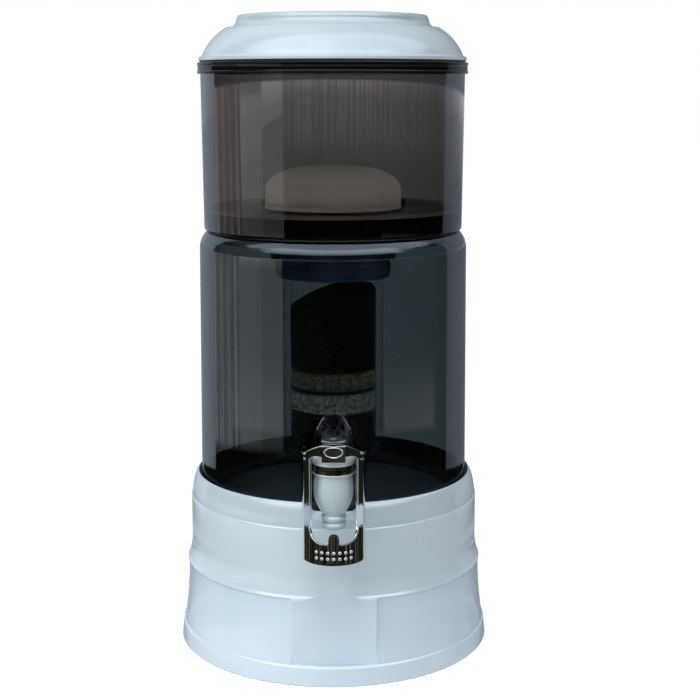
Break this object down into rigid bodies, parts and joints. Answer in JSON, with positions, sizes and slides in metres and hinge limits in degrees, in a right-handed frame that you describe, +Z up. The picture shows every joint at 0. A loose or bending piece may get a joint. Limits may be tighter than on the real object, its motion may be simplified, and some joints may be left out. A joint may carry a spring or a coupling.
{
  "type": "gravity water filter",
  "caption": "Counter-top gravity water filter: two stacked smoked tanks on a flared white base, with a ceramic dome, a hanging media cartridge, a domed lid and a push tap.",
  "frame": {"origin": "middle of the circle of four rubber feet, at the height of the bench", "axes": "+Z up along the axis of the tanks, -Y towards the tap, +X to the right of someone facing the tap"},
  "size_m": [0.2798, 0.3221, 0.5566],
  "materials": {
    "white_plastic": "glossy moulded plastic, faintly blue white",
    "smoked_upper": "clear smoked plastic, warm grey",
    "smoked_lower": "clear smoked plastic, green grey",
    "chrome": "bright chrome plate",
    "steel": "stainless steel",
    "ceramic": "fine unglazed ceramic, off-white",
    "grey_plastic": "plain moulded plastic",
    "blue_plastic": "dark blue see-through plastic",
    "clear_plastic": "clear plastic",
    "silicone": "dark silicone",
    "foot_rubber": "matt rubber",
    "carbon": "black granular carbon",
    "brown_media": "brown ceramic beads",
    "grey_media": "pale grey ceramic beads",
    "dark_media": "dark mineral granules",
    "felt": "dark filter felt"
  },
  "bodies": {
    "base": {"base_shell": "white_plastic", "rubber_feet": "foot_rubber"},
    "lower": {"lower_tank": "smoked_lower", "tank_gasket": "silicone", "tap_body": "white_plastic", "outer_washer": "silicone", "inner_washer": "silicone", "shank_nut": "white_plastic", "collar_ring": "chrome", "tap_bonnet": "white_plastic", "bonnet_gasket": "silicone", "lever_pin": "steel", "valve_spring": "steel"},
    "lever": {"push_lever": "chrome"},
    "valve": {"valve_stem": "steel", "valve_seal": "silicone", "stem_button": "chrome"},
    "upper": {"upper_tank": "smoked_upper", "ceramic_dome": "ceramic", "dome_plate": "grey_plastic", "dome_gasket": "silicone", "dome_nut": "grey_plastic", "cartridge_cap": "blue_plastic", "cap_gasket": "silicone", "cartridge_body": "clear_plastic", "carbon_bed": "carbon", "brown_beads": "brown_media", "grey_beads": "grey_media", "mineral_bed": "dark_media", "felt_separators": "felt", "inlet_screen": "steel"},
    "cover": {"lid": "white_plastic", "lid_seal": "silicone"}
  },
  "joints": [
    {"name": "lower_tank_lift", "type": "slide", "parent": "base", "child": "lower", "axis": [0, 0, 1], "range_m": [0, 0.06]},
    {"name": "lever_push", "type": "hinge", "parent": "lower", "child": "lever", "pos_m": [0, -0.167, 0.2115], "axis": [1, 0, 0], "range_deg": [0, 10], "stiffness_Nm_per_rad": 0.5, "springref_deg": -14.32},
    {"name": "stem_lift", "type": "slide", "parent": "lower", "child": "valve", "axis": [0, 0, 1], "range_m": [0, 0.003], "deforming": ["valve_spring"]},
    {"name": "upper_tank_lift", "type": "slide", "parent": "lower", "child": "upper", "axis": [0, 0, 1], "range_m": [0, 0.22]},
    {"name": "lid_lift", "type": "slide", "parent": "upper", "child": "cover", "axis": [0, 0, 1], "range_m": [0, 0.1]}
  ],
  "couplings": [
    {"joint": "stem_lift", "follows": "lever_push", "m_per_rad": 0.014}
  ]
}
